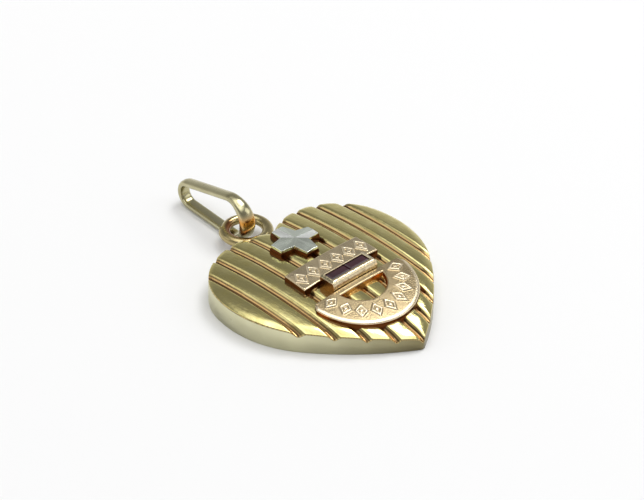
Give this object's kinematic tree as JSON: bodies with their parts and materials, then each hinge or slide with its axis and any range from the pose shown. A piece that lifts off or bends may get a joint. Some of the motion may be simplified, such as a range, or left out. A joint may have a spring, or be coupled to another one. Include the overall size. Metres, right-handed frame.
{
  "type": "heart pendant",
  "caption": "Domed, ribbed gold heart pendant with a cross, two plates, two red stones in a raised setting, an eyelet at the cleft and a loose oval bail.",
  "frame": {"origin": "centre of the heart's flat back face, at the middle of the heart's width and length", "axes": "+X across the lobes, +Y from the tip towards the cleft and the bail, +Z out of the ribbed front"},
  "size_m": [0.0156, 0.024, 0.0035],
  "materials": {
    "yellow_gold": "polished 18-carat yellow gold",
    "white_gold": "bright white gold",
    "rose_gold": "satin rose gold",
    "ruby": "polished dark red stone"
  },
  "bodies": {
    "heart": {"heart_body": "yellow_gold", "eyelet": "yellow_gold", "cross": "white_gold", "cross_backing": "rose_gold", "upper_plate": "rose_gold", "lower_plate": "rose_gold", "stone_setting": "yellow_gold", "stone_left": "ruby", "stone_right": "ruby"},
    "bail": {"bail": "yellow_gold"}
  },
  "joints": [
    {"name": "bail_swing", "type": "hinge", "parent": "heart", "child": "bail", "pos_m": [-0.0002, 0.01049, 0.00177], "axis": [0.9971, -0.0767, 0], "range_deg": [-100, 150]}
  ]
}
